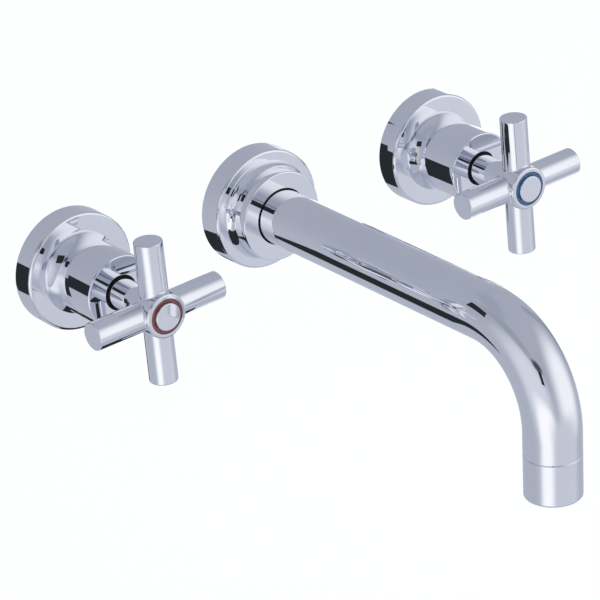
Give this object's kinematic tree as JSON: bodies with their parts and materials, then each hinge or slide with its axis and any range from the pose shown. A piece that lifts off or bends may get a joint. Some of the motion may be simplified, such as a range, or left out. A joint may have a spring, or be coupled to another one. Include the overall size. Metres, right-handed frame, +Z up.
{
  "type": "wall faucet",
  "caption": "Widespread wall-mounted faucet in three stations: a long round tube spout bent down to an aerator, between hot and cold quarter-turn cross handles.",
  "frame": {"origin": "middle of the spout's wall shank, in the plane of the finished wall", "axes": "-Y out of the wall towards the user, +X to the user's right along the row of stations, +Z up"},
  "size_m": [0.2698, 0.2327, 0.1042],
  "materials": {
    "polished_chrome": "polished chrome plate",
    "brass": "machined brass",
    "rubber": "black rubber",
    "foam_rubber": "closed-cell foam rubber",
    "ceramic": "lapped alumina",
    "spring_steel": "stainless steel",
    "black_plastic": "moulded acetal",
    "white_plastic": "moulded plastic",
    "fibre": "pressed fibre",
    "red_enamel": "glossy red",
    "blue_enamel": "glossy blue"
  },
  "bodies": {
    "wall_set": {"hot_valve_body": "brass", "hot_seat_seal": "rubber", "hot_fixed_disc": "ceramic", "hot_cartridge_housing": "brass", "hot_housing_o_ring": "rubber", "hot_flange": "polished_chrome", "hot_wall_seal": "foam_rubber", "hot_sleeve": "polished_chrome", "hot_sleeve_bush": "black_plastic", "spout_shank": "brass", "shank_washer": "fibre", "spout_adapter": "brass", "spout_flange": "polished_chrome", "spout_wall_seal": "foam_rubber", "spout_collar": "polished_chrome", "collar_o_ring": "rubber", "collar_set_screw": "spring_steel", "spout_tube": "polished_chrome", "aerator_shell": "polished_chrome", "aerator_washer": "rubber", "flow_restrictor": "white_plastic", "aerator_insert": "white_plastic", "aerator_screen": "spring_steel", "cold_valve_body": "brass", "cold_seat_seal": "rubber", "cold_fixed_disc": "ceramic", "cold_cartridge_housing": "brass", "cold_housing_o_ring": "rubber", "cold_flange": "polished_chrome", "cold_wall_seal": "foam_rubber", "cold_sleeve": "polished_chrome", "cold_sleeve_bush": "black_plastic"},
    "hot_handle": {"hot_cross_handle": "polished_chrome", "hot_stem": "brass", "hot_stem_o_rings": "rubber", "hot_stem_clip": "spring_steel", "hot_moving_disc": "ceramic", "hot_handle_screw": "spring_steel", "hot_index_ring": "red_enamel", "hot_index_button": "polished_chrome"},
    "cold_handle": {"cold_cross_handle": "polished_chrome", "cold_stem": "brass", "cold_stem_o_rings": "rubber", "cold_stem_clip": "spring_steel", "cold_moving_disc": "ceramic", "cold_handle_screw": "spring_steel", "cold_index_ring": "blue_enamel", "cold_index_button": "polished_chrome"}
  },
  "joints": [
    {"name": "hot_handle_turn", "type": "hinge", "parent": "wall_set", "child": "hot_handle", "pos_m": [-0.1016, 0, 0], "axis": [0, -1, 0], "range_deg": [0, 90]},
    {"name": "cold_handle_turn", "type": "hinge", "parent": "wall_set", "child": "cold_handle", "pos_m": [0.1016, 0, 0], "axis": [0, 1, 0], "range_deg": [0, 90]}
  ]
}
